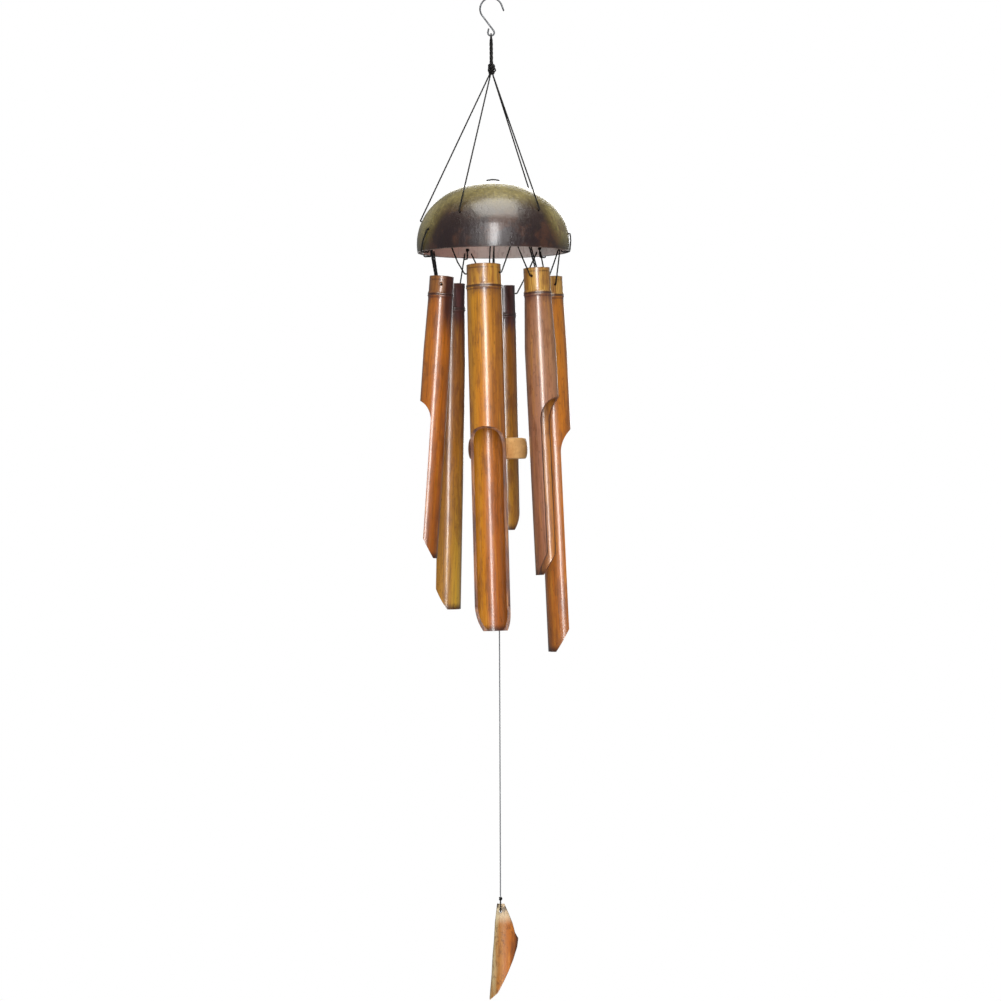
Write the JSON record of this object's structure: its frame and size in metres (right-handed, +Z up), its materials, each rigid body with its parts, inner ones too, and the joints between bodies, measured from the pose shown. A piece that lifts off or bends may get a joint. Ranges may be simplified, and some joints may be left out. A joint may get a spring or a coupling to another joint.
{
  "type": "wind chime",
  "caption": "Hanging wind chime: a polished half coconut shell carries a ring of notched bamboo tubes round a wooden striker, with a bamboo wind catcher below.",
  "frame": {"origin": "inside of the S-hook's upper bend, where it rests on what holds it", "axes": "+Z up along the hanging line, +X to the right in the plane of the S-hook, -Y is the front with the widest tube"},
  "size_m": [0.1265, 0.1291, 0.822],
  "materials": {
    "wire": "dull wire",
    "black_cord": "twisted cord",
    "grey_cord": "thin twisted cord",
    "shell": "polished, lacquered",
    "bamboo_brown": "lacquered",
    "bamboo_gold": "lacquered",
    "bamboo_dark": "lacquered",
    "wood": "bare turned wood",
    "catcher": "lacquered"
  },
  "bodies": {
    "hook": {"s_hook": "wire"},
    "loop": {"hanging_loop": "black_cord"},
    "canopy": {"crown_knot": "black_cord", "suspension_cord_1": "black_cord", "suspension_cord_2": "black_cord", "suspension_cord_3": "black_cord", "suspension_cord_4": "black_cord", "suspension_knots": "black_cord", "coconut_shell": "shell", "rim_tie_1": "black_cord", "rim_tie_2": "black_cord", "rim_tie_3": "black_cord", "rim_tie_4": "black_cord", "rim_tie_5": "black_cord", "rim_tie_6": "black_cord", "rim_tie_7": "black_cord", "inner_cord_front": "black_cord", "inner_cord_right": "black_cord", "apex_arch": "black_cord"},
    "cord_1": {"tube_cord_1": "black_cord"},
    "tube_1": {"bamboo_tube_1": "bamboo_brown"},
    "cord_2": {"tube_cord_2": "black_cord"},
    "tube_2": {"bamboo_tube_2": "bamboo_gold"},
    "cord_3": {"tube_cord_3": "black_cord"},
    "tube_3": {"bamboo_tube_3": "bamboo_brown"},
    "cord_4": {"tube_cord_4": "black_cord"},
    "tube_4": {"bamboo_tube_4": "bamboo_dark"},
    "cord_5": {"tube_cord_5": "black_cord"},
    "tube_5": {"bamboo_tube_5": "bamboo_dark"},
    "cord_6": {"tube_cord_6": "black_cord"},
    "tube_6": {"bamboo_tube_6": "bamboo_gold"},
    "apex": {"apex_knot": "black_cord"},
    "line": {"centre_cord": "grey_cord", "striker_knot": "black_cord"},
    "striker": {"striker": "wood"},
    "lower": {"lower_cord": "grey_cord", "catcher_loop": "black_cord"},
    "catcher": {"wind_catcher": "catcher"}
  },
  "joints": [
    {"name": "loop_swing", "type": "hinge", "parent": "hook", "child": "loop", "pos_m": [-0.0003, 0, -0.0303], "axis": [1, 0, 0], "range_deg": [-35, 35]},
    {"name": "canopy_twist", "type": "hinge", "parent": "loop", "child": "canopy", "pos_m": [-0.0003, 0, -0.0523], "axis": [0, 0, 1], "range_deg": [-180, 180]},
    {"name": "cord_1_swing", "type": "hinge", "parent": "canopy", "child": "cord_1", "pos_m": [-0.05098, -0.0206, -0.2043], "axis": [0.3746, -0.9272, 0], "range_deg": [-25, 2]},
    {"name": "tube_1_tilt", "type": "hinge", "parent": "cord_1", "child": "tube_1", "pos_m": [-0.04611, -0.01678, -0.2351], "axis": [0.342, -0.9397, 0], "range_deg": [-8, 2]},
    {"name": "cord_2_swing", "type": "hinge", "parent": "canopy", "child": "cord_2", "pos_m": [-0.03677, 0.03677, -0.2043], "axis": [-0.7071, -0.7071, 0], "range_deg": [-25, 2]},
    {"name": "tube_2_tilt", "type": "hinge", "parent": "cord_2", "child": "tube_2", "pos_m": [-0.03709, 0.03112, -0.2375], "axis": [-0.6428, -0.766, -0.007], "range_deg": [-8, 2]},
    {"name": "cord_3_swing", "type": "hinge", "parent": "canopy", "child": "cord_3", "pos_m": [-0.00996, -0.04787, -0.2043], "axis": [0.979, -0.2036, 0], "range_deg": [-25, 2]},
    {"name": "tube_3_tilt", "type": "hinge", "parent": "cord_3", "child": "tube_3", "pos_m": [-0.00854, -0.04842, -0.2283], "axis": [0.9845, -0.1736, 0.0262], "range_deg": [-8, 2]},
    {"name": "cord_4_swing", "type": "hinge", "parent": "canopy", "child": "cord_4", "pos_m": [0.00864, 0.0466, -0.2043], "axis": [0.9833, -0.1822, 0], "range_deg": [-2, 25]},
    {"name": "tube_4_tilt", "type": "hinge", "parent": "cord_4", "child": "tube_4", "pos_m": [0.00835, 0.04737, -0.2384], "axis": [0.9848, -0.1736, 0], "range_deg": [-2, 8]},
    {"name": "cord_5_swing", "type": "hinge", "parent": "canopy", "child": "cord_5", "pos_m": [0.03608, -0.03164, -0.2043], "axis": [-0.6593, -0.7518, 0], "range_deg": [-2, 25]},
    {"name": "tube_5_tilt", "type": "hinge", "parent": "cord_5", "child": "tube_5", "pos_m": [0.03704, -0.03108, -0.2302], "axis": [-0.6428, -0.766, 0], "range_deg": [-2, 8]},
    {"name": "cord_6_swing", "type": "hinge", "parent": "canopy", "child": "cord_6", "pos_m": [0.04668, 0.01562, -0.2043], "axis": [0.3173, -0.9483, 0], "range_deg": [-2, 25]},
    {"name": "tube_6_tilt", "type": "hinge", "parent": "cord_6", "child": "tube_6", "pos_m": [0.04736, 0.01181, -0.2343], "axis": [0.2419, -0.9703, 0], "range_deg": [-2, 8]},
    {"name": "apex_rock", "type": "hinge", "parent": "canopy", "child": "apex", "pos_m": [0, 0, -0.16], "axis": [0, -1, 0], "range_deg": [-4, 2.7]},
    {"name": "centre_swing", "type": "hinge", "parent": "apex", "child": "line", "pos_m": [0, 0, -0.16], "axis": [1, 0, 0], "range_deg": [-3.6, 4]},
    {"name": "striker_tilt", "type": "hinge", "parent": "line", "child": "striker", "pos_m": [0.002, 0, -0.3793], "axis": [0, -1, 0], "range_deg": [-3.5, 3.5]},
    {"name": "lower_swing", "type": "hinge", "parent": "line", "child": "lower", "pos_m": [0.002, 0, -0.3793], "axis": [1, 0, 0], "range_deg": [-12, 12]},
    {"name": "catcher_swing", "type": "hinge", "parent": "lower", "child": "catcher", "pos_m": [0.0005, 0, -0.7475], "axis": [0, -1, 0], "range_deg": [-30, 30]}
  ]
}
